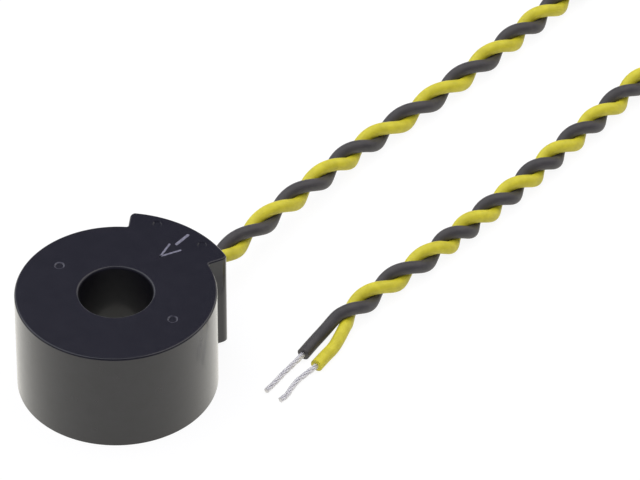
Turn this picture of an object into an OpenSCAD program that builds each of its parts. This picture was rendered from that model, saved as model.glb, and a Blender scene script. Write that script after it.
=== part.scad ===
// Current transformer: a wound ring core potted in a moulded cup with a hole through it and a pair of leads.
// The origin is on the hole's axis at the base. +Z is up and +Y points at the lead exit. All sizes are in mm.

/* [Housing] */
// Outside diameter of the round body
body_d = 26; // [22:0.5:50]
// Height of the body
body_h = 14.7; // [14:0.1:30]
// Diameter of the pass-through hole
bore_d = 9.5; // [5:0.1:12]
// Thickness of the outer wall
outer_wall = 1.1; // [0.8:0.1:1.6]
// Thickness of the wall around the hole
bore_wall = 0.9; // [0.6:0.1:1.5]
// Thickness of the top
top_t = 1.2; // [0.8:0.1:2]
// Rounding of the outer top edge
top_edge_r = 0.5; // [0.1:0.05:0.6]
// Rounding of the lip round the hole
lip_r = 0.35; // [0.1:0.05:0.6]

/* [Lead boss] */
// How far the boss stands out past the round body
boss_reach = 2.8; // [2.6:0.1:6]
// Half of the angle that the boss covers
boss_half_angle = 29.5; // [24:0.5:45]
// Rounding of the boss's upright outer corners
boss_corner_r = 0.9; // [0.1:0.1:1]
// How far the boss stops short of the base
boss_lift = 0.5; // [0:0.1:0.8]
// Height of the lead exit's middle above the base
exit_h = 4.4; // [2.6:0.1:5]
// Room between the leads and the edge of the exit slot
slot_clear = 0.15; // [0.05:0.05:0.4]

/* [Mould marks] */
// Diameter of a mould mark
mark_d = 1.2; // [0.6:0.1:2]
// Depth of a mould mark
mark_depth = 0.12; // [0.05:0.01:0.3]
// Distance of the two side marks from the hole's axis
side_mark_r = 9; // [7.5:0.1:11]
// Distance of the two boss marks inside the boss's outer face
boss_mark_inset = 1.4; // [1:0.1:2.4]
// Angle of the boss marks to each side of its middle
boss_mark_angle = 13; // [6:0.5:20]

/* [Wound core] */
// Potting between the wound core and the wall round the hole
coil_gap_in = 0.65; // [0.3:0.05:1.2]
// Potting between the wound core and the outer wall
coil_gap_out = 0.8; // [0.3:0.05:1.5]
// Potting between the wound core and the top
coil_gap_top = 0.6; // [0.3:0.1:1.5]
// Height of the wound core's lower face above the base
coil_z = 2.5; // [1.2:0.1:2.8]
// Thickness of the outer tape
tape_t = 0.2; // [0.1:0.05:0.4]
// Build of the copper winding on each face
winding_t = 0.6; // [0.3:0.05:1]
// Thickness of the insulation on the core
wrap_t = 0.3; // [0.1:0.05:0.6]
// Diameter of the winding's tail wires
tail_d = 0.2; // [0.1:0.05:0.4]

/* [Potting] */
// How far the potting stops short of the base
fill_recess = 0.7; // [0.1:0.1:1]
// How far the potting stops short of the boss's outer face in the slot
slot_recess = 0.3; // [0.1:0.1:0.8]

/* [Leads] */
// Diameter over a lead's insulation
lead_d = 1.7; // [1.2:0.1:2]
// Diameter of the tinned conductor
conductor_d = 0.75; // [0.4:0.05:0.8]
// Gap between the two leads
pair_gap = 0.1; // [0:0.05:0.3]
// How far the insulation reaches into the boss's pocket
lead_entry = 1.1; // [0.5:0.1:1.6]
// Distance of the splices inside the pocket's outer wall
splice_inset = 2; // [1.8:0.1:2.4]
// Diameter of a soldered splice
splice_d = 0.95; // [0.7:0.05:1.1]
// Length of a soldered splice
splice_l = 3; // [1.5:0.5:4]
// Wall thickness of a splice sleeve
sleeve_wall = 0.2; // [0.1:0.05:0.3]
// How far a sleeve runs past its splice at each end
sleeve_lap = 0.6; // [0.2:0.1:1]
// Room between the insulation's top and the sleeve
sleeve_gap = 0.2; // [0.1:0.1:0.6]
// Straight length of tail above a sleeve
tail_rise = 0.5; // [0.3:0.1:1]

/* [Hidden] */
$fn = 96;
// How far a cut runs past the face that it opens
cut_over = 1;

body_r = body_d / 2;
bore_r = bore_d / 2;
boss_r = body_r + boss_reach;
ceiling_z = body_h - top_t;
pocket_r = boss_r - outer_wall;
// The corner's round runs this far past the outer face, so that the two cross cleanly
corner_crossing = 0.03;
corner_steps = 6;
corner_centre_r = boss_r - boss_corner_r + corner_crossing;
corner_angle = asin(boss_corner_r / corner_centre_r);

coil_r_in = bore_r + bore_wall + coil_gap_in;
coil_r_out = body_r - outer_wall - coil_gap_out;
coil_top = ceiling_z - coil_gap_top;
// Each layer's depth below the tape's outer face
under_tape = tape_t;
under_winding = under_tape + winding_t;
under_wrap = under_winding + wrap_t;
wrap_corner_r = 0.3;
winding_corner_r = wrap_corner_r + winding_t;
tape_corner_r = winding_corner_r + tape_t;

lead_r = lead_d / 2;
conductor_r = conductor_d / 2;
half_pitch = (lead_d + pair_gap) / 2;
slot_w = 2 * (half_pitch + lead_r + slot_clear);
slot_h = lead_d + 2 * slot_clear;
lead_start_y = pocket_r - lead_entry;
splice_y = pocket_r - splice_inset;
sleeve_z = exit_h + lead_r + sleeve_gap;
splice_z = sleeve_z + sleeve_lap;
splice_top = splice_z + splice_l;
sleeve_top = splice_top + sleeve_lap;
tail_z = sleeve_top + tail_rise;
sleeve_r = splice_d / 2 + sleeve_wall;

// The pair's rest height, and its route. Each row is x, y past the boss's outer face, the share of the exit's
// height that is left, and the roll of the pair about its route. The black lead is on the left at roll 0.
pair_rest_z = lead_d + pair_gap / 2;
pair_rows = [
    [0, -outer_wall - lead_entry, 1, 0], [0, 8, 1, 0], [0.05, 14, 0.88, 0], [0.05, 20, 0.7, 0], [0.1, 26, 0.46, 0],
    [0.15, 32, 0.25, 0], [0.4, 38, 0.07, 0], [1.1, 43.5, 0, 0], [2, 49.5, 0, 0], [2.7, 55, 0, 0],
    [3.3, 60.5, 0, 0], [3.8, 66.5, 0, 0], [4.3, 73, 0, 0], [4.8, 80, 0, 0],
    [5.3, 86, 0, 0], [7.8, 91, 0, 0], [11.4, 93.6, 0, 0], [15.1, 93.8, 0, 0], [19.3, 92, 0, 0], [22.5, 88, 0, 0],
    [23.5, 83, 0, 0], [23.5, 78, 0, 0], [23.2, 73, 0, 0], [23, 66, 0, 0], [22.7, 59, 0, 0], [22.4, 52, 0, 0],
    [22.1, 45, 0, 0], [21.6, 38.5, 0, 0], [21.1, 32.5, 0, 0], [20.5, 27, 0, 0], [19.9, 22.5, 0, 0],
    [19.2, 18.5, 0, 20], [18.7, 15, 0, 60], [18.4, 11.5, 0, 100], [18.4, 8, 0, 135]];
// Where each lead goes on its own: x, y past the boss's outer face, and how far it is lifted off the surface
black_end = [[17.6, 3.6, 0.4], [17.5, 0.9, 0]];
yellow_end = [[20, 3.6, 0.05], [20.1, 0.1, 0]];
// Each bare conductor: x, y past the boss's outer face, and the share left of its height in the insulation
black_tip = [[17.47, -0.1, 0.84], [17.4, -3.3, 0.43], [17.4, -7.2, 0.14]];
yellow_tip = [[20.1, -0.9, 0.9], [19.7, -2.4, 0.52], [19.6, -4.2, 0.24], [19.9, -7.6, 0.1]];

// ---- Shared shapes ----

// A half section with a rounded top edge, for turning
module round_top_section(r, h, edge_r) {
    square([r - edge_r, h]);
    square([r, h - edge_r]);
    translate([r - edge_r, h - edge_r]) circle(edge_r);
}

// An upright wedge about +Y with its point on the axis
module wedge(half_angle, z, h) {
    side = (boss_r + cut_over) / cos(half_angle);
    translate([0, 0, z]) linear_extrude(h)
        polygon([[0, 0], side * [sin(half_angle), cos(half_angle)], side * [-sin(half_angle), cos(half_angle)]]);
}

// A turned ring with rounded corners in section
module ring(r_in, r_out, z, top, corner_r) {
    w = r_out - r_in;
    h = top - z;
    rotate_extrude() translate([r_in, z]) {
        translate([corner_r, 0]) square([w - 2 * corner_r, h]);
        translate([0, corner_r]) square([w, h - 2 * corner_r]);
        for (x = [corner_r, w - corner_r], y = [corner_r, h - corner_r]) translate([x, y]) circle(corner_r);
    }
}

// A layer of the wound core, this far below the tape's outer face on every side
module coil_layer(depth, corner_r) {
    ring(coil_r_in + depth, coil_r_out - depth, coil_z + depth, coil_top - depth, corner_r);
}

// The steel core's own plain ring
module core_ring() {
    r_in = coil_r_in + under_wrap;
    r_out = coil_r_out - under_wrap;
    rotate_extrude() translate([r_in, coil_z + under_wrap])
        square([r_out - r_in, coil_top - coil_z - 2 * under_wrap]);
}

// The space inside the cup, from one height up to the ceiling
module cavity(z) {
    h = ceiling_z - z;
    translate([0, 0, z]) difference() {
        union() {
            cylinder(r = body_r - outer_wall, h = h);
            intersection() {
                cylinder(r = pocket_r, h = h);
                translate([0, outer_wall / sin(boss_half_angle), 0]) wedge(boss_half_angle, 0, h);
            }
        }
        translate([0, 0, -cut_over]) cylinder(r = bore_r + bore_wall, h = h + 2 * cut_over);
    }
}

// The slot that the leads leave by, between two distances from the axis
module exit_slot(from_y, to_y) {
    l = to_y - from_y;
    half_flat = (slot_w - slot_h) / 2;
    translate([0, from_y, exit_h]) {
        translate([-half_flat, 0, -slot_h / 2]) cube([2 * half_flat, l, slot_h]);
        for (x = [-half_flat, half_flat])
            translate([x, 0, 0]) rotate([-90, 0, 0]) cylinder(d = slot_h, h = l);
    }
}

// A round wire bent square: level from one distance to the upright part, then up or down to a height
module elbow(x, d, from_y, level_z, end_z) {
    translate([x, splice_y, level_z]) {
        sphere(d = d);
        l = from_y - splice_y;
        rotate([l > 0 ? -90 : 90, 0, 0]) cylinder(d = d, h = abs(l));
        rise = end_z - level_z;
        translate([0, 0, min(rise, 0)]) cylinder(d = d, h = abs(rise));
    }
}

module upright(x, d, z, top) {
    translate([x, splice_y, z]) cylinder(d = d, h = top - z);
}

// ---- Housing ----

// A point at a distance along a bearing, which is turned from +Y towards +X
function at_bearing(angle, r) = [r * sin(angle), r * cos(angle)];

// The boss's outline on the +X side: from the side wall, round the corner and out past the outer face
function boss_side() = let (corner_bearing = boss_half_angle - corner_angle)
    concat(
        [for (i = [0:corner_steps])
            let (facing = boss_half_angle + 90 - (90 + corner_angle) * i / corner_steps)
            at_bearing(corner_bearing, corner_centre_r) + at_bearing(facing, boss_corner_r)],
        [at_bearing(corner_bearing, (boss_r + cut_over) / cos(corner_bearing))]);

module boss() {
    right = boss_side();
    left = [for (i = [len(right) - 1:-1:0]) [-right[i][0], right[i][1]]];
    intersection() {
        rotate_extrude() round_top_section(boss_r, body_h, top_edge_r);
        translate([0, 0, boss_lift]) linear_extrude(body_h) polygon(concat([[0, 0]], right, left));
    }
}

module bore_cut() {
    translate([0, 0, -cut_over]) cylinder(r = bore_r, h = body_h + 2 * cut_over);
    difference() {
        translate([0, 0, body_h - lip_r]) cylinder(r = bore_r + lip_r, h = lip_r + cut_over);
        rotate_extrude() translate([bore_r + lip_r, body_h - lip_r]) circle(lip_r);
    }
}

module mould_marks() {
    translate([0, 0, body_h - mark_depth]) {
        for (side = [-1, 1]) {
            translate([side * side_mark_r, 0, 0]) cylinder(d = mark_d, h = mark_depth + cut_over);
            rotate([0, 0, side * boss_mark_angle]) translate([0, boss_r - boss_mark_inset, 0])
                cylinder(d = mark_d, h = mark_depth + cut_over);
        }
    }
}

module housing() {
    color("#20202a") difference() {
        union() {
            rotate_extrude() round_top_section(body_r, body_h, top_edge_r);
            boss();
        }
        bore_cut();
        cavity(-cut_over);
        exit_slot(pocket_r - cut_over, boss_r + cut_over);
        mould_marks();
    }
}

// ---- Wound core ----

module core() {
    color("#8d9298") core_ring();
}

module core_wrap() {
    color("#e6e2d4") difference() {
        coil_layer(under_winding, wrap_corner_r);
        core_ring();
    }
}

module winding() {
    color("#b4602c") difference() {
        coil_layer(under_tape, winding_corner_r);
        coil_layer(under_winding, wrap_corner_r);
    }
}

module winding_tape() {
    color("#d8b93a") difference() {
        coil_layer(0, tape_corner_r);
        coil_layer(under_tape, winding_corner_r);
        for (x = [-half_pitch, half_pitch]) tail_shape(x);
    }
}

module potting() {
    color("#17171b") difference() {
        union() {
            cavity(fill_recess);
            exit_slot(pocket_r - cut_over, boss_r - slot_recess);
        }
        coil_layer(0, tape_corner_r);
        for (x = [-half_pitch, half_pitch]) {
            tail_shape(x);
            upright(x, 2 * sleeve_r, sleeve_z, sleeve_top);
            elbow(x, conductor_d, lead_start_y, exit_h, splice_top);
            translate([x, lead_start_y, exit_h]) rotate([-90, 0, 0])
                cylinder(r = lead_r, h = boss_r - lead_start_y);
        }
    }
}

// ---- Joints between the winding and the leads ----

// A tail from the top of its splice to the winding's outer face
module tail_shape(x) {
    difference() {
        elbow(x, tail_d, coil_r_out - under_tape - tail_d, tail_z, splice_top);
        cylinder(r = coil_r_out - under_tape, h = body_h);
    }
}

module splice_shape(x) {
    difference() {
        upright(x, splice_d, splice_z, splice_top);
        upright(x, conductor_d, splice_z - cut_over, splice_top + cut_over);
    }
}

module sleeve_shape(x) {
    difference() {
        upright(x, 2 * sleeve_r, sleeve_z, sleeve_top);
        upright(x, splice_d, splice_z, splice_top);
        upright(x, conductor_d, sleeve_z - cut_over, splice_top);
        upright(x, tail_d, splice_top, sleeve_top + cut_over);
    }
}

module black_tail() {
    color("#b4602c") tail_shape(-half_pitch);
}

module yellow_tail() {
    color("#b4602c") tail_shape(half_pitch);
}

module black_splice() {
    color("#c4c6c8") splice_shape(-half_pitch);
}

module yellow_splice() {
    color("#c4c6c8") splice_shape(half_pitch);
}

module black_sleeve() {
    color("#2a2a2c") sleeve_shape(-half_pitch);
}

module yellow_sleeve() {
    color("#2a2a2c") sleeve_shape(half_pitch);
}

module black_inner_end() {
    color("#c9cbcd") elbow(-half_pitch, conductor_d, lead_start_y, exit_h, splice_top);
}

module yellow_inner_end() {
    color("#c9cbcd") elbow(half_pitch, conductor_d, lead_start_y, exit_h, splice_top);
}

// ---- Leads ----

function unit(v) = v / norm(v);
function along(p, i) = unit(p[min(i + 1, len(p) - 1)] - p[max(i - 1, 0)]);
function right_of(t) = unit(cross(t, [0, 0, 1]));
function row_point(row) = [row[0], boss_r + row[1], pair_rest_z + row[2] * (exit_h - pair_rest_z)];
function end_points(rows) = [for (row = rows) [row[0], boss_r + row[1], lead_r + row[2]]];
function tip_points(end_rows, tip_rows) = concat([end_points(end_rows)[len(end_rows) - 1]],
    [for (row = tip_rows) [row[0], boss_r + row[1], conductor_r + row[2] * (lead_r - conductor_r)]]);

// One lead's own path beside the pair's route: side is -1 for the left one and 1 for the right one
function pair_path(side) = let (p = [for (row = pair_rows) row_point(row)])
    [for (i = [0:len(p) - 1])
        let (t = along(p, i), s = right_of(t), u = cross(s, t), roll = pair_rows[i][3])
        p[i] + side * half_pitch * (cos(roll) * s - sin(roll) * u)];

// A tube of eight sides along a path, closed at both ends
module swept_tube(path, r) {
    n = len(path);
    sides = 8;
    points = [for (i = [0:n - 1], k = [0:sides - 1])
        let (t = along(path, i), s = right_of(t), u = cross(s, t), a = 360 * k / sides)
        path[i] + r * (cos(a) * s + sin(a) * u)];
    wall = [for (i = [0:n - 2], k = [0:sides - 1])
        let (k2 = (k + 1) % sides)
        [i * sides + k, i * sides + k2, (i + 1) * sides + k2, (i + 1) * sides + k]];
    start_cap = [for (k = [sides - 1:-1:0]) k];
    end_cap = [for (k = [0:sides - 1]) (n - 1) * sides + k];
    polyhedron(points, concat([start_cap, end_cap], wall), convexity = 10);
}

module black_lead() {
    color("#3c3a3c") swept_tube(concat(pair_path(-1), end_points(black_end)), lead_r);
}

module yellow_lead() {
    color("#d2c42e") swept_tube(concat(pair_path(1), end_points(yellow_end)), lead_r);
}

module black_bare_end() {
    color("#c9cbcd") swept_tube(tip_points(black_end, black_tip), conductor_r);
}

module yellow_bare_end() {
    color("#c9cbcd") swept_tube(tip_points(yellow_end, yellow_tip), conductor_r);
}

housing();
core();
core_wrap();
winding();
winding_tape();
potting();
black_tail();
yellow_tail();
black_splice();
yellow_splice();
black_sleeve();
yellow_sleeve();
black_inner_end();
yellow_inner_end();
black_lead();
yellow_lead();
black_bare_end();
yellow_bare_end();
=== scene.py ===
"""Gives a potted current transformer its looks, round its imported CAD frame."""

import math

import bmesh
import bpy
import numpy as np
from mathutils import Matrix, Vector


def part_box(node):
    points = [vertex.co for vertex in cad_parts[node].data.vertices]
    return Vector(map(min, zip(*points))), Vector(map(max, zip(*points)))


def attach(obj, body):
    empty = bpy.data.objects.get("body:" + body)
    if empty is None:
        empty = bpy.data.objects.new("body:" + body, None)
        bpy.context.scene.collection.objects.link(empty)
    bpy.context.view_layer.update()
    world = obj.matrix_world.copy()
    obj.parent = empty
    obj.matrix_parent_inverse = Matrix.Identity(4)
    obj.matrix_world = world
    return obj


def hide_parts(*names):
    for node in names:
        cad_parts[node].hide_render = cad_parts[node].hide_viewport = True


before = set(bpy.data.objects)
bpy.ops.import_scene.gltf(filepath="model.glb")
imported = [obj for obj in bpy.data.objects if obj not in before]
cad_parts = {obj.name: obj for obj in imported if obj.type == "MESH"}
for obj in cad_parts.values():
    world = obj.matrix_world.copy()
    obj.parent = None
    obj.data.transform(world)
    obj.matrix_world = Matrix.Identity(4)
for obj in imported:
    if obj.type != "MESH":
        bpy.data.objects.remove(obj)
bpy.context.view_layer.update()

MM = 0.001
UP = Vector((0, 0, 1))

# ---- Sizes of the moulded cup, in metres ----

housing_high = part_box("housing")[1]
BODY_R = housing_high.x
BODY_H = housing_high.z
BOSS_R = 15.8 * MM
BORE_R = 4.75 * MM
BORE_WALL = 0.9 * MM
OUTER_WALL = 1.1 * MM
TOP_T = 1.2 * MM
TOP_EDGE_R = 0.5 * MM
LIP_R = 0.35 * MM
BOSS_HALF_ANGLE = math.radians(29.5)
BOSS_CORNER_R = 0.9 * MM
BOSS_ROOT_R = 0.25 * MM
INNER_CORNER_R = 0.2 * MM
BASE_EDGE_R = 0.08 * MM
BOSS_LIFT = 0.5 * MM
EXIT_H = 4.4 * MM
SLOT_W = 3.8 * MM
SLOT_H = 2 * MM
SLOT_DEPTH = 3 * MM
MARK_D = 1.2 * MM
MARK_DEPTH = 0.12 * MM
MARK_SLOPE = math.radians(42)
SIDE_MARK_R = 9 * MM
BOSS_MARK_R = 14.3 * MM
BOSS_MARK_ANGLE = math.radians(14.5)
# The steps of the outline's two arcs, and how far each arc stops short of a corner that is rounded later
BODY_STEPS = 220
BOSS_STEPS = 56
CORNER_ROOM = 0.7 * MM
# How far a cut runs past the face that it opens
PAST = 2 * MM

# ---- Sizes of the leads, in metres ----

LEAD_R = 0.85 * MM
CONDUCTOR_R = 0.375 * MM
PAIR_REST_Z = 1.71 * MM
PAIR_STEP = 0.4 * MM
# The strands of a bare conductor, whose outer ones go once round the first in each lay
STRAND_R = CONDUCTOR_R / 3
OUTER_STRANDS = 6
STRAND_LAY = 7 * MM
STRAND_STEP = 0.15 * MM

# The pair's route in mm: x, y past the boss's outer face, and the share of the exit's height that is left
PAIR_ROUTE = [
    (0, -2.2, 1), (0, 8, 1), (0.05, 14, 0.88), (0.05, 20, 0.7), (0.1, 26, 0.46),
    (0.15, 32, 0.25), (0.4, 38, 0.07), (1.1, 43.5, 0), (2, 49.5, 0), (2.7, 55, 0),
    (3.3, 60.5, 0), (3.8, 66.5, 0), (4.3, 73, 0), (4.8, 80, 0),
    (5.3, 86, 0), (7.8, 91, 0), (11.4, 93.6, 0), (15.1, 93.8, 0), (19.3, 92, 0), (22.5, 88, 0),
    (23.5, 83, 0), (23.5, 78, 0), (23.2, 73, 0), (23, 66, 0), (22.7, 59, 0), (22.4, 52, 0),
    (22.1, 45, 0), (21.6, 38.5, 0), (21.1, 32.5, 0), (20.5, 27, 0), (19.9, 22.5, 0),
    (19.2, 18.5, 0), (18.7, 15, 0), (18.4, 11.5, 0), (18.4, 8, 0),
]
# Where each lead runs on its own to its cut end, and then each bare conductor, in mm in the frame
BLACK_END = [(17.5, 21.6, 1.5), (17.4, 19.2, 1.05), (17.5, 16.7, 0.86)]
YELLOW_END = [(19.55, 22.05, 1.05), (19.95, 20, 0.87), (20.05, 17.9, 0.86), (20.18, 15.9, 0.86)]
BLACK_TIP = [(17.5, 15.7, 0.8), (17.42, 12.5, 0.62), (17.46, 10.4, 0.5), (17.42, 8.6, 0.42)]
YELLOW_TIP = [
    (20.12, 15.2, 0.82), (19.88, 13.7, 0.72), (19.72, 12.2, 0.6), (19.84, 10.8, 0.5), (20.06, 9.4, 0.43),
    (19.9, 8.2, 0.41)]
# Where the yellow lead crosses over the black one, as y in mm on the way out and on the way back
OUTWARD_CRESTS = (22.2, 35.8, 48.2, 59.1, 70.9, 82.3)
RETURN_CRESTS = (79.3, 69.6, 60.4, 51.1, 42.9, 32.0)
HIDDEN_TURNS = 7
# The yellow lead's place round the pair, in degrees from the right of travel upwards, in the boss
START_BEARING = 360
# The same at a crest, on the way out and on the way back
OUTWARD_BEARING = 56.8
RETURN_BEARING = 123.2

# ---- View ----

CAMERA_PLACE = Vector((0.39794, -0.51883, 0.58845))
CAMERA_ELEVATION = math.radians(40.85)
CAMERA_AZIMUTH = math.radians(35.2)
CAMERA_LENS = 382.7
SENSOR_WIDTH = 36


def make_camera():
    camera = bpy.data.objects.new("camera", bpy.data.cameras.new("camera"))
    camera.data.sensor_width = SENSOR_WIDTH
    camera.data.lens = CAMERA_LENS
    camera.location = CAMERA_PLACE
    camera.rotation_euler = (math.pi / 2 - CAMERA_ELEVATION, 0, CAMERA_AZIMUTH)
    bpy.context.scene.collection.objects.link(camera)
    bpy.context.scene.camera = camera


# ---- Making pieces ----


def piece_from(bm, name):
    """Makes an object of a finished bmesh, with its faces turned outwards."""
    bmesh.ops.remove_doubles(bm, verts=bm.verts, dist=1e-8)
    bmesh.ops.recalc_face_normals(bm, faces=bm.faces)
    mesh = bpy.data.meshes.new(name)
    bm.to_mesh(mesh)
    bm.free()
    piece = bpy.data.objects.new(name, mesh)
    bpy.context.scene.collection.objects.link(piece)
    return piece


def apply_modifiers(piece):
    """Bakes a piece's modifiers into its mesh."""
    rough_mesh = piece.data
    shown = piece.evaluated_get(bpy.context.evaluated_depsgraph_get())
    piece.data = bpy.data.meshes.new_from_object(shown)
    piece.modifiers.clear()
    bpy.data.meshes.remove(rough_mesh)


def carve(piece, *cutters):
    """Cuts closed shapes out of a piece and throws them away."""
    for cutter in cutters:
        cut = piece.modifiers.new("cut", "BOOLEAN")
        cut.object = cutter
        cut.operation = "DIFFERENCE"
        cut.solver = "EXACT"
    apply_modifiers(piece)
    for cutter in cutters:
        bpy.data.objects.remove(cutter)


def smooth_with_flat_faces(piece, angle=14):
    """Smooth shading that leaves large flat faces flat and edges past the angle sharp."""
    piece.data.shade_smooth()
    piece.data.set_sharp_from_angle(angle=math.radians(angle))
    weighting = piece.modifiers.new("flat faces", "WEIGHTED_NORMAL")
    weighting.keep_sharp = True
    weighting.weight = 80
    apply_modifiers(piece)


def at_bearing(angle, r, z=0.0):
    """A point at a bearing that is turned from +Y towards +X."""
    return Vector((r * math.sin(angle), r * math.cos(angle), z))


def spin_arc(bm, start, angle, steps):
    """Draws an arc about the Z axis from a new vertex, clockwise from above, and returns its two ends."""
    first = bm.verts.new(start)
    turned = bmesh.ops.spin(bm, geom=[first], cent=(0, 0, 0), axis=(0, 0, -1), angle=angle, steps=steps)
    return first, turned["geom_last"][0]


def revolve(name, profile, steps=192):
    """Spins a profile of (radius, height) points about the Z axis into a closed piece."""
    bm = bmesh.new()
    points = [bm.verts.new((r, 0, z)) for r, z in profile]
    edges = [bm.edges.new(pair) for pair in zip(points, points[1:])]
    bmesh.ops.spin(
        bm, geom=points + edges, cent=(0, 0, 0), axis=(0, 0, 1), angle=math.tau, steps=steps,
        use_merge=True)
    return piece_from(bm, name)


def raise_face(bm, face, height):
    """Draws a flat face up into a solid, and returns the vertices of its top."""
    raised = bmesh.ops.extrude_face_region(bm, geom=[face])["geom"]
    top = [v for v in raised if isinstance(v, bmesh.types.BMVert)]
    bmesh.ops.translate(bm, verts=top, vec=(0, 0, height))
    return top


def stadium(bm, length, width, depth):
    """A flat bar with round ends along X, centred, from z = 0 up to its depth."""
    made = bmesh.ops.create_circle(bm, cap_ends=True, segments=32, radius=width / 2)
    for vert in made["verts"]:
        vert.co.x += math.copysign((length - width) / 2, vert.co.x + 1e-9)  # The middle ones go right
    return made["verts"] + raise_face(bm, made["verts"][0].link_faces[0], depth)


# ---- Moulded housing ----


def cup_block(name, inset, low, high, corner_r, root_r):
    """A solid of the cup's outline, inset from it all round, between two heights."""
    bm = bmesh.new()
    round_r = BODY_R - inset
    boss_r = BOSS_R - inset
    root_turn = BOSS_HALF_ANGLE - math.asin(inset / round_r)
    corner_turn = BOSS_HALF_ANGLE - math.asin(inset / boss_r)
    body_from = root_turn + CORNER_ROOM / round_r
    boss_from = corner_turn - CORNER_ROOM / boss_r
    body_arc = spin_arc(bm, at_bearing(body_from, round_r, low), math.tau - 2 * body_from, BODY_STEPS)
    boss_arc = spin_arc(bm, at_bearing(-boss_from, boss_r, low), 2 * boss_from, BOSS_STEPS)
    roots = [bm.verts.new(at_bearing(side * root_turn, round_r, low)) for side in (1, -1)]
    corners = [bm.verts.new(at_bearing(side * corner_turn, boss_r, low)) for side in (-1, 1)]
    for pair in (
        (roots[0], body_arc[0]), (body_arc[1], roots[1]), (roots[1], corners[0]),
        (corners[0], boss_arc[0]), (boss_arc[1], corners[1]), (corners[1], roots[0]),
    ):
        bm.edges.new(pair)
    bmesh.ops.edgeloop_fill(bm, edges=bm.edges)
    for verts, radius in ((corners, corner_r), (roots, root_r)):
        bmesh.ops.bevel(
            bm, geom=verts, offset=radius, offset_type="OFFSET", segments=10, profile=0.5,
            affect="VERTICES", material=-1)
    bm.faces.ensure_lookup_table()
    raise_face(bm, bm.faces[0], high - low)
    return piece_from(bm, name)


def round_rim(piece, height, radius):
    """Rounds the rim of the face that lies at a height."""
    bm = bmesh.new()
    bm.from_mesh(piece.data)
    rim = [e for e in bm.edges if all(abs(v.co.z - height) < 1e-7 for v in e.verts)]
    bmesh.ops.bevel(
        bm, geom=rim, offset=radius, offset_type="OFFSET", segments=8, profile=0.5,
        affect="EDGES", clamp_overlap=True, material=-1)
    bm.to_mesh(piece.data)
    bm.free()


def arc_profile(centre, radius, start, end, steps=10):
    """Points of an arc in a profile, between two angles in degrees."""
    return [
        (centre[0] + radius * math.cos(math.radians(a)), centre[1] + radius * math.sin(math.radians(a)))
        for a in np.linspace(start, end, steps + 1)]


def bore_cutter():
    """The hole through the cup, which flares at the top to leave a rounded lip."""
    above_top = 0.002 * MM
    lip_r = BORE_R + LIP_R
    lip = arc_profile((lip_r, BODY_H - LIP_R + above_top), LIP_R, 180, 90)
    profile = [(0, -PAST), (BORE_R, -PAST), *lip, (lip_r, BODY_H + PAST), (0, BODY_H + PAST)]
    return revolve("bore_cutter", profile)


def slot_cutter():
    """The slot that the leads come out of."""
    bm = bmesh.new()
    verts = stadium(bm, SLOT_W, SLOT_H, SLOT_DEPTH + PAST)
    place = Matrix.Translation((0, BOSS_R - SLOT_DEPTH, EXIT_H)) @ Matrix.Rotation(-math.pi / 2, 4, "X")
    bmesh.ops.transform(bm, matrix=place, verts=verts)
    return piece_from(bm, "slot_cutter")


def side_marks():
    """Where the mould leaves its round marks beside the hole."""
    return [Vector((side * SIDE_MARK_R, 0, BODY_H)) for side in (1, -1)]


def boss_marks():
    """Where the mould leaves its round marks on the boss."""
    return [at_bearing(side * BOSS_MARK_ANGLE, BOSS_MARK_R, BODY_H) for side in (-1, 1)]


def mark_cutter():
    """Shallow dishes with sloping walls, half of each of them above the top."""
    bm = bmesh.new()
    wall = MARK_DEPTH / math.tan(MARK_SLOPE)
    for place in side_marks() + boss_marks():
        dish = bmesh.ops.create_cone(
            bm, cap_ends=True, segments=48, radius1=MARK_D / 2 - wall, radius2=MARK_D / 2 + wall,
            depth=2 * MARK_DEPTH)
        bmesh.ops.translate(bm, verts=dish["verts"], vec=place)
    return piece_from(bm, "mark_cutter")


def hollow_cutter():
    """The room inside the cup, open at the base, which leaves the wall round the hole standing."""
    hollow = cup_block(
        "hollow", inset=OUTER_WALL, low=-0.5 * PAST, high=BODY_H - TOP_T,
        corner_r=INNER_CORNER_R, root_r=INNER_CORNER_R)
    tube_r = BORE_R + BORE_WALL
    tube = revolve("tube", [(0, -PAST), (tube_r, -PAST), (tube_r, BODY_H), (0, BODY_H)])
    carve(hollow, tube)
    return hollow


def lift_cutter():
    """The ring under the boss, which stops it short of the base."""
    clear_of_body = 0.01 * MM
    inner, outer = BODY_R + clear_of_body, 2 * BODY_R
    low, high = -0.5 * PAST, BOSS_LIFT
    return revolve("lift_cutter", [(inner, low), (outer, low), (outer, high), (inner, high), (inner, low)])


def make_housing():
    """The moulded cup, with its rounded rims, its room for the wound core, and its cuts."""
    shell = cup_block(
        "housing_shell", inset=0, low=0, high=BODY_H, corner_r=BOSS_CORNER_R, root_r=BOSS_ROOT_R)
    round_rim(shell, BODY_H, TOP_EDGE_R)
    round_rim(shell, 0, BASE_EDGE_R)
    carve(shell, hollow_cutter(), bore_cutter(), slot_cutter(), mark_cutter(), lift_cutter())
    smooth_with_flat_faces(shell)
    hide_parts("housing")
    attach(shell, "root")
    return shell


def make_arrow_print():
    """The printed arrow that shows which way the current goes: a broad shaft and an open head."""
    ink = 0.012 * MM
    # From, to, and width, in mm
    strokes = [
        ((0.98, 14.3), (0.84, 12.05), 0.42),
        ((0.53, 8.9), (0.1, 11.5), 0.27),
        ((0.53, 8.9), (1.95, 11.35), 0.27),
    ]
    bm = bmesh.new()
    for start, end, width in strokes:
        start, end = Vector(start) * MM, Vector(end) * MM
        along = end - start
        verts = stadium(bm, along.length + width * MM, width * MM, ink)
        middle = (start + end) / 2
        place = Matrix.Translation((middle.x, middle.y, BODY_H - ink / 3)) @ Matrix.Rotation(
            math.atan2(along.y, along.x), 4, "Z")
        bmesh.ops.transform(bm, matrix=place, verts=verts)
    arrow = piece_from(bm, "arrow_print")
    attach(arrow, "root")
    return arrow


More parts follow.
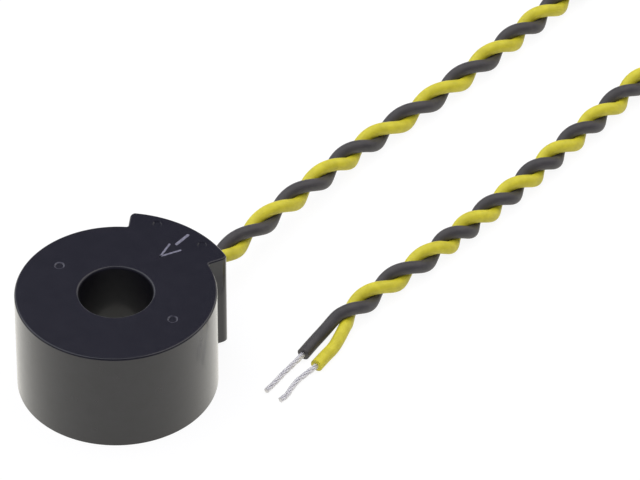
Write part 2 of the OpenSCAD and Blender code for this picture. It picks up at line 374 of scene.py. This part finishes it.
# ---- Leads ----


def even_line(points, step):
    """A smooth line through points in metres, as an array of places a step apart."""
    steps_between = 24
    p = np.array([tuple(point) for point in points])
    p = np.vstack([2 * p[0] - p[1], p, 2 * p[-1] - p[-2]])
    dense = []
    for a, b, c, d in zip(p, p[1:], p[2:], p[3:]):
        bend = 2 * a - 5 * b + 4 * c - d
        twist = 3 * b - a - 3 * c + d
        for t in np.linspace(0, 1, steps_between, endpoint=False):
            dense.append(0.5 * (2 * b + (c - a) * t + bend * t**2 + twist * t**3))
    dense = np.array([*dense, p[-2]])
    distance = np.concatenate([[0], np.cumsum(np.linalg.norm(np.diff(dense, axis=0), axis=1))])
    even = np.linspace(0, distance[-1], max(2, round(distance[-1] / step) + 1))
    return np.column_stack([np.interp(even, distance, dense[:, k]) for k in range(3)])


def across(line):
    """The directions to the right of a line's travel and upwards from it, at each of its places."""
    travel = np.gradient(line, axis=0)
    travel /= np.linalg.norm(travel, axis=1)[:, None]
    right = np.cross(travel, UP)
    right /= np.linalg.norm(right, axis=1)[:, None]
    return right, np.cross(right, travel)


def pair_line():
    """The middle of the twisted pair."""
    drop = EXIT_H - PAIR_REST_Z
    points = [(x * MM, BOSS_R + y * MM, PAIR_REST_Z + share * drop) for x, y, share in PAIR_ROUTE]
    return even_line(points, PAIR_STEP)


def yellow_bearings(line):
    """The yellow lead's bearing round the pair at each place of its middle line, in radians."""
    furthest = int(np.argmax(line[:, 1]))
    places = np.arange(len(line))
    out_y, back_y = line[: furthest + 1, 1], line[furthest:, 1][::-1]
    out_at = [float(np.interp(y * MM, out_y, places[: furthest + 1])) for y in OUTWARD_CRESTS]
    back_at = [float(np.interp(y * MM, back_y, places[furthest:][::-1])) for y in RETURN_CRESTS]
    out_turns = [OUTWARD_BEARING - 360 * k for k in range(len(out_at))]
    first_back = RETURN_BEARING - 360 * (len(out_at) - 1 + HIDDEN_TURNS)
    back_turns = [first_back - 360 * k for k in range(len(back_at))]
    straight_to = float(np.interp(BOSS_R - 0.1 * MM, out_y, places[: furthest + 1]))
    last_turn = (back_turns[-1] - back_turns[-2]) / (back_at[-1] - back_at[-2])
    end_turns = back_turns[-1] + last_turn * (places[-1] - back_at[-1])
    at = [0, straight_to, *out_at, *back_at, places[-1]]
    turns = [START_BEARING, START_BEARING, *out_turns, *back_turns, end_turns]
    return np.radians(np.interp(places, at, turns))


def twisted_lines():
    """The middle lines of the black and the yellow lead, wound round each other."""
    line = pair_line()
    right, up = across(line)
    bearing = yellow_bearings(line)[:, None]
    aside = LEAD_R * (np.cos(bearing) * right + np.sin(bearing) * up)
    return line - aside, line + aside


def lead_line(pair_part, end):
    """A lead's whole middle line, from its start in the boss to its cut end."""
    every_second = pair_part[::2]
    return even_line([*every_second, *[Vector(p) * MM for p in end]], PAIR_STEP)


def round_wire(name, lines, radius, around=12):
    """A curve object that runs a round wire along each line."""
    curve = bpy.data.curves.new(name, "CURVE")
    curve.dimensions = "3D"
    curve.bevel_depth = 1  # The points' own radius is the wire's, which also sets the curve's bounds
    curve.bevel_resolution = around
    curve.use_fill_caps = True
    for line in lines:
        spline = curve.splines.new("POLY")
        spline.points.add(len(line) - 1)
        spline.points.foreach_set("co", np.column_stack([line, np.ones(len(line))]).ravel())
        spline.points.foreach_set("radius", np.full(len(line), radius))
        spline.use_smooth = True
    wire = bpy.data.objects.new(name, curve)
    bpy.context.scene.collection.objects.link(wire)
    return wire


def strand_lines(tip, lead_end):
    """The strands of a bare conductor, all but the first of them laid round it."""
    line = even_line([lead_end, *[Vector(p) * MM for p in tip]], STRAND_STEP)
    right, up = across(line)
    distance = np.arange(len(line)) * STRAND_STEP
    lines = [line]
    for k in range(OUTER_STRANDS):
        turn = (math.tau * (k / OUTER_STRANDS - distance / STRAND_LAY))[:, None]
        lines.append(line + 2 * STRAND_R * (np.cos(turn) * right + np.sin(turn) * up))
    return lines


def make_lead(colour, pair_part, end, tip):
    """A lead's insulation from inside the boss to its cut end, and the bare strands past it."""
    line = lead_line(pair_part, end)
    lead = round_wire(f"{colour}_insulation", [line], LEAD_R)
    strands = round_wire(f"{colour}_strands", strand_lines(tip, line[-2]), STRAND_R, around=3)
    for piece, node, slot in (
        (lead, f"{colour}_lead", f"{colour}_pvc"), (strands, f"{colour}_bare_end", "tinned_copper"),
    ):
        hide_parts(node)
        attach(piece, "root")
    return lead, strands


# ---- Materials ----


def math_node(nodes, links, operation, *values):
    """Adds a math node that takes numbers or sockets, and returns its result."""
    node = nodes.new("ShaderNodeMath")
    node.operation = operation
    for socket, value in zip(node.inputs, values):
        if isinstance(value, (int, float)):
            socket.default_value = value
        else:
            links.new(value, socket)
    return node.outputs["Value"]


def colour_ramp(nodes, links, factor, *stops):
    """Adds a ramp of (position, colour) stops, and returns its colour."""
    node = nodes.new("ShaderNodeValToRGB")
    elements = node.color_ramp.elements
    while len(elements) < len(stops):
        elements.new(1)
    for element, (position, colour) in zip(elements, stops):
        element.position = position
        element.color = (*colour, 1)
    links.new(factor, node.inputs["Fac"])
    return node.outputs["Color"]


class Paint:
    """A material under construction, with short ways to add its nodes."""

    def __init__(self, name, **shader_values):
        self.material = bpy.data.materials.new(name)
        self.material.use_nodes = True
        self.nodes = self.material.node_tree.nodes
        self.links = self.material.node_tree.links
        self.shader = self.nodes["Principled BSDF"]
        self.place = self.nodes.new("ShaderNodeTexCoord").outputs["Object"]
        for socket, value in shader_values.items():
            self.shader.inputs[socket.replace("_", " ")].default_value = value

    def noise(self, scale, detail=3):
        node = self.nodes.new("ShaderNodeTexNoise")
        node.inputs["Scale"].default_value = scale
        node.inputs["Detail"].default_value = detail
        node.inputs["Roughness"].default_value = 0.55
        self.links.new(self.place, node.inputs["Vector"])
        return node.outputs["Fac"]

    def math(self, operation, *values):
        return math_node(self.nodes, self.links, operation, *values)

    def ramp(self, factor, *stops):
        return colour_ramp(self.nodes, self.links, factor, *stops)

    def spread(self, factor, low, high):
        """Stretches a factor of 0 to 1 over a range."""
        node = self.nodes.new("ShaderNodeMapRange")
        node.inputs["To Min"].default_value = low
        node.inputs["To Max"].default_value = high
        self.links.new(factor, node.inputs["Value"])
        return node.outputs["Result"]

    def axis(self, name):
        """The place along an axis, in metres."""
        node = self.nodes.new("ShaderNodeSeparateXYZ")
        self.links.new(self.place, node.inputs["Vector"])
        return node.outputs[name]

    def radius(self):
        """The distance from the Z axis, in metres."""
        x, y = self.axis("X"), self.axis("Y")
        return self.math("SQRT", self.math("ADD", self.math("MULTIPLY", x, x), self.math("MULTIPLY", y, y)))

    def distance(self, point):
        """The distance from a point, in metres."""
        node = self.nodes.new("ShaderNodeVectorMath")
        node.operation = "DISTANCE"
        node.inputs[1].default_value = point
        self.links.new(self.place, node.inputs[0])
        return node.outputs["Value"]

    def bump(self, height, distance):
        """Adds relief of a height in metres, on top of any that is there."""
        node = self.nodes.new("ShaderNodeBump")
        node.inputs["Distance"].default_value = distance
        node.inputs["Strength"].default_value = 1
        self.links.new(height, node.inputs["Height"])
        if self.shader.inputs["Normal"].is_linked:
            self.links.new(self.shader.inputs["Normal"].links[0].from_socket, node.inputs["Normal"])
        self.links.new(node.outputs["Normal"], self.shader.inputs["Normal"])

    def feed(self, socket, value):
        self.links.new(value, self.shader.inputs[socket])


def moulded_plastic():
    """Glossy black plastic, finer on top, duller in the hole, with a painted pale highlight on the rims of
    the side marks.
    """
    paint = Paint("moulded black plastic", IOR=1.375, Coat_Weight=1, Coat_Roughness=0.14, Coat_IOR=1.375)
    # The pale colour is a painted highlight for the rims of the side marks; the other two are the plastic's
    # own random tone.
    dark, plain, painted_highlight_pale = (0.0085, 0.0085, 0.011), (0.0125, 0.0122, 0.0155), (0.1, 0.1, 0.115)
    rim_half_width = 0.09 * MM
    from_mark = paint.math("MINIMUM", *[paint.distance(place) for place in side_marks()])
    on_rim = paint.math("COMPARE", from_mark, MARK_D / 2, rim_half_width)
    # Painted highlight: a pale, uneven ring on the rim of each side mark, where light catches its edge,
    # mixed into the random mottle.
    painted_rim_highlight = paint.math("MULTIPLY", on_rim, paint.spread(paint.noise(1300, 2), 0.7, 1.2))
    tone_and_rim_highlight = paint.math("MAXIMUM", paint.noise(420), painted_rim_highlight)
    paint.feed("Base Color", paint.ramp(tone_and_rim_highlight, (0.3, dark), (0.7, plain), (0.8, plain), (1, painted_highlight_pale)))
    on_top = paint.math("GREATER_THAN", paint.axis("Z"), BODY_H - 0.5 * TOP_EDGE_R)
    in_hole = paint.math("LESS_THAN", paint.radius(), BORE_R + 0.5 * LIP_R)
    finer_on_top = paint.math("MULTIPLY", on_top, -0.05)
    coarser_in_hole = paint.math("MULTIPLY", in_hole, 0.18)
    rough = paint.math("ADD", paint.spread(paint.noise(900, 4), 0.25, 0.33), finer_on_top)
    paint.feed("Roughness", paint.math("ADD", rough, coarser_in_hole))
    duller_in_hole = paint.math("MULTIPLY", in_hole, 0.45)
    paint.feed("Coat Weight", paint.math("SUBTRACT", 1, duller_in_hole))
    paint.bump(paint.noise(2600, 2), 0.0005 * MM)
    paint.bump(paint.noise(260, 1), 0.005 * MM)
    return paint.material


def print_ink():
    """Pale ink, a little thin in places."""
    paint = Paint("pale print ink", Roughness=0.6)
    paint.feed("Base Color", paint.ramp(
        paint.noise(5200, 4), (0.35, (0.12, 0.118, 0.15)), (0.65, (0.27, 0.265, 0.33))))
    paint.bump(paint.noise(9000, 2), 0.002 * MM)
    return paint.material


def pvc(name, dark, plain):
    """Soft satin PVC, faintly mottled and grained."""
    paint = Paint(name, IOR=1.53)
    paint.feed("Base Color", paint.ramp(paint.noise(700), (0.3, dark), (0.65, plain)))
    paint.feed("Roughness", paint.spread(paint.noise(1500), 0.46, 0.58))
    paint.bump(paint.noise(2500), 0.006 * MM)
    return paint.material


def tinned_wire():
    """Pale tin, satin and a little uneven."""
    paint = Paint("tinned copper strands", Metallic=0.75)
    paint.feed("Base Color", paint.ramp(
        paint.noise(2400), (0.3, (0.78, 0.77, 0.76)), (0.7, (0.94, 0.94, 0.93))))
    paint.feed("Roughness", paint.spread(paint.noise(3000), 0.45, 0.62))
    paint.bump(paint.noise(5000, 2), 0.003 * MM)
    return paint.material


def poured_resin():
    """Black potting resin, glossy and slightly uneven where it set."""
    paint = Paint("poured black resin", IOR=1.55)
    paint.feed("Base Color", paint.ramp(
        paint.noise(300), (0.35, (0.008, 0.008, 0.009)), (0.7, (0.014, 0.014, 0.015))))
    paint.feed("Roughness", paint.spread(paint.noise(500), 0.1, 0.22))
    paint.bump(paint.noise(180, 1), 0.03 * MM)
    return paint.material


def strip_steel():
    """The edges of a steel strip wound on itself."""
    strip_t = 0.2 * MM
    paint = Paint("wound steel strip", Metallic=1)
    turns = paint.math("SINE", paint.math("MULTIPLY", paint.radius(), math.tau / strip_t))
    paint.feed("Base Color", paint.ramp(
        paint.spread(turns, 0, 1), (0.1, (0.2, 0.21, 0.22)), (0.8, (0.5, 0.51, 0.53))))
    paint.feed("Roughness", paint.spread(paint.noise(1200), 0.3, 0.5))
    paint.bump(turns, 0.01 * MM)
    return paint.material


def around(paint, turns):
    """A wave that repeats this many times round the Z axis."""
    angle = paint.math("ARCTAN2", paint.axis("Y"), paint.axis("X"))
    return paint.math("SINE", paint.math("MULTIPLY", angle, turns))


def enamelled_copper():
    """Fine lacquered wires side by side, each up over the ring's faces."""
    paint = Paint("enamelled copper wire", Metallic=0.8)
    wires = around(paint, 260)
    paint.feed("Base Color", paint.ramp(
        paint.spread(wires, 0, 1), (0.1, (0.2, 0.06, 0.02)), (0.8, (0.56, 0.22, 0.08))))
    paint.feed("Roughness", paint.spread(paint.noise(900), 0.22, 0.38))
    paint.bump(wires, 0.03 * MM)
    return paint.material


def lapped_film(name, dark, plain, laps, rough):
    """Thin film lapped round a ring."""
    paint = Paint(name)
    edges = around(paint, laps)
    paint.feed("Base Color", paint.ramp(paint.spread(edges, 0, 1), (0.05, dark), (0.35, plain)))
    paint.feed("Roughness", paint.spread(paint.noise(600), rough, rough + 0.15))
    paint.bump(edges, 0.02 * MM)
    return paint.material


def shrunk_sleeve():
    """Dull black sleeving that has drawn itself tight."""
    paint = Paint("shrunk black sleeve")
    paint.feed("Base Color", paint.ramp(
        paint.noise(1500), (0.3, (0.016, 0.016, 0.017)), (0.7, (0.03, 0.03, 0.031))))
    paint.feed("Roughness", paint.spread(paint.noise(2000), 0.45, 0.6))
    paint.bump(paint.noise(3000), 0.008 * MM)
    return paint.material


def dull_solder():
    """Solder that set with a dull, slightly lumpy skin."""
    paint = Paint("dull solder", Metallic=1)
    paint.feed("Base Color", paint.ramp(
        paint.noise(2500), (0.3, (0.42, 0.42, 0.43)), (0.7, (0.62, 0.62, 0.63))))
    paint.feed("Roughness", paint.spread(paint.noise(1800), 0.25, 0.45))
    paint.bump(paint.noise(2200), 0.01 * MM)
    return paint.material


def finish_piece(piece, material):
    """Gives a piece its only material."""
    piece.data.materials.clear()
    piece.data.materials.append(material)


def finish_inner_pieces(tinned):
    """Gives the pieces inside the cup their own finishes."""
    copper, solder, sleeve = enamelled_copper(), dull_solder(), shrunk_sleeve()
    finishes = {
        "core": strip_steel(),
        "core_wrap": lapped_film("pale core film", (0.5, 0.47, 0.4), (0.78, 0.75, 0.67), 30, 0.5),
        "winding": copper,
        "winding_tape": lapped_film("yellow tape film", (0.4, 0.28, 0.03), (0.68, 0.5, 0.07), 24, 0.2),
        "potting": poured_resin(),
        "black_tail": copper, "yellow_tail": copper,
        "black_splice": solder, "yellow_splice": solder,
        "black_sleeve": sleeve, "yellow_sleeve": sleeve,
        "black_inner_end": tinned, "yellow_inner_end": tinned,
    }
    for node, material in finishes.items():
        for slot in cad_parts[node].material_slots:
            slot.link = "OBJECT"
            slot.material = material


# ---- Floor and light ----


def blend(nodes, links, share, first, second):
    """Adds a mix that goes from the first shader to the second as the share goes from 0 to 1."""
    mix = nodes.new("ShaderNodeMixShader")
    links.new(share, mix.inputs["Fac"])
    links.new(first, mix.inputs[1])
    links.new(second, mix.inputs[2])
    return mix.outputs["Shader"]


def eased(nodes, links, value, none_at, full_at):
    """Adds a share that eases from 0 to 1 between two values."""
    node = nodes.new("ShaderNodeMapRange")
    node.interpolation_type = "SMOOTHSTEP"
    node.inputs["From Min"].default_value = none_at
    node.inputs["From Max"].default_value = full_at
    links.new(value, node.inputs["Value"])
    return node.outputs["Result"]


def white_paper():
    """Lit paper that is nearly plain white to the camera, and a little warmer where something mirrors it."""
    glow_part = 0.86
    material = bpy.data.materials.new("white paper floor")
    material.use_nodes = True
    nodes, links = material.node_tree.nodes, material.node_tree.links
    nodes.remove(nodes["Principled BSDF"])
    paper = nodes.new("ShaderNodeBsdfDiffuse")
    paper.inputs["Color"].default_value = (0.92, 0.92, 0.92, 1)
    glow = nodes.new("ShaderNodeEmission")
    glow.inputs["Strength"].default_value = 1.06
    ray = nodes.new("ShaderNodeLightPath").outputs
    tint = colour_ramp(nodes, links, ray["Is Glossy Ray"], (0, (1, 1, 1)), (1, (1, 0.98, 0.91)))
    links.new(tint, glow.inputs["Color"])
    seen = math_node(nodes, links, "MAXIMUM", ray["Is Camera Ray"], ray["Is Transmission Ray"])
    seen = math_node(nodes, links, "MAXIMUM", seen, ray["Is Glossy Ray"])
    share = math_node(nodes, links, "MULTIPLY", seen, glow_part)
    shader = blend(nodes, links, share, paper.outputs["BSDF"], glow.outputs["Emission"])
    links.new(shader, nodes["Material Output"].inputs["Surface"])
    return material


def make_floor():
    bm = bmesh.new()
    bmesh.ops.create_grid(bm, x_segments=1, y_segments=1, size=6)
    floor = piece_from(bm, "studio_floor")
    finish_piece(floor, white_paper())


def make_world():
    """A dim cool room with a pale wall behind the object, all of it plain white to the camera."""
    world = bpy.data.worlds.new("studio")
    bpy.context.scene.world = world
    world.use_nodes = True
    nodes, links = world.node_tree.nodes, world.node_tree.links
    direction = nodes.new("ShaderNodeTexCoord").outputs["Generated"]
    behind = nodes.new("ShaderNodeVectorMath")
    behind.operation = "DOT_PRODUCT"
    behind.inputs[1].default_value = (-math.sin(CAMERA_AZIMUTH), math.cos(CAMERA_AZIMUTH), 0)
    links.new(direction, behind.inputs[0])
    height = nodes.new("ShaderNodeSeparateXYZ")
    links.new(direction, height.inputs["Vector"])
    across_room = eased(nodes, links, behind.outputs["Value"], none_at=0.2, full_at=0.7)
    low_down = eased(nodes, links, height.outputs["Z"], none_at=0.3, full_at=0.05)
    wall = math_node(nodes, links, "MULTIPLY", across_room, low_down)
    room = nodes["Background"]
    room_colour = colour_ramp(nodes, links, wall, (0, (0.115, 0.112, 0.2)), (1, (0.9, 0.9, 0.9)))
    links.new(room_colour, room.inputs["Color"])
    white = nodes.new("ShaderNodeBackground")
    white.inputs["Color"].default_value = (1, 1, 1, 1)
    to_camera = nodes.new("ShaderNodeLightPath").outputs["Is Camera Ray"]
    shader = blend(nodes, links, to_camera, room.outputs["Background"], white.outputs["Background"])
    links.new(shader, nodes["World Output"].inputs["Surface"])


def make_lamp(name, azimuth, elevation, distance, size, energy, colour, mirrored=True):
    """A square soft lamp that faces the object. Azimuth 0 is the camera's own side of the object."""
    target = Vector((10 * MM, 30 * MM, 5 * MM))
    turn = CAMERA_AZIMUTH + math.radians(azimuth)
    rise = math.radians(elevation)
    away = Vector((math.sin(turn) * math.cos(rise), -math.cos(turn) * math.cos(rise), math.sin(rise)))
    lamp = bpy.data.objects.new(name, bpy.data.lights.new(name, "AREA"))
    lamp.data.size = size
    lamp.data.energy = energy
    lamp.data.color = colour
    lamp.visible_glossy = mirrored
    lamp.location = target + away * distance
    lamp.rotation_euler = away.to_track_quat("Z", "Y").to_euler()
    bpy.context.scene.collection.objects.link(lamp)


def make_light():
    """The room, two lamps behind the object that it mirrors, and one in front that only lights it."""
    make_world()
    for name, azimuth, colour in (("warm_lamp", 125, (1, 0.97, 0.92)), ("cool_lamp", -125, (0.93, 0.96, 1))):
        make_lamp(name, azimuth, elevation=52, distance=0.75, size=0.8, energy=2.4, colour=colour)
    make_lamp(
        "front_lamp", azimuth=-35, elevation=62, distance=0.9, size=1, energy=4.6, colour=(1, 0.99, 0.97),
        mirrored=False)


# ---- The whole ----


def main():
    bpy.context.scene.view_settings.view_transform = "Standard"
    make_camera()
    tinned = tinned_wire()
    black_part, yellow_part = twisted_lines()
    black, black_strands = make_lead("black", black_part, BLACK_END, BLACK_TIP)
    yellow, yellow_strands = make_lead("yellow", yellow_part, YELLOW_END, YELLOW_TIP)
    finish_piece(black, pvc("black PVC", (0.049, 0.046, 0.045), (0.065, 0.06, 0.058)))
    finish_piece(yellow, pvc("yellow PVC", (0.64, 0.57, 0.024), (0.78, 0.7, 0.034)))
    finish_piece(black_strands, tinned)
    finish_piece(yellow_strands, tinned)
    finish_piece(make_housing(), moulded_plastic())
    finish_piece(make_arrow_print(), print_ink())
    finish_inner_pieces(tinned)
    make_floor()
    make_light()


main()
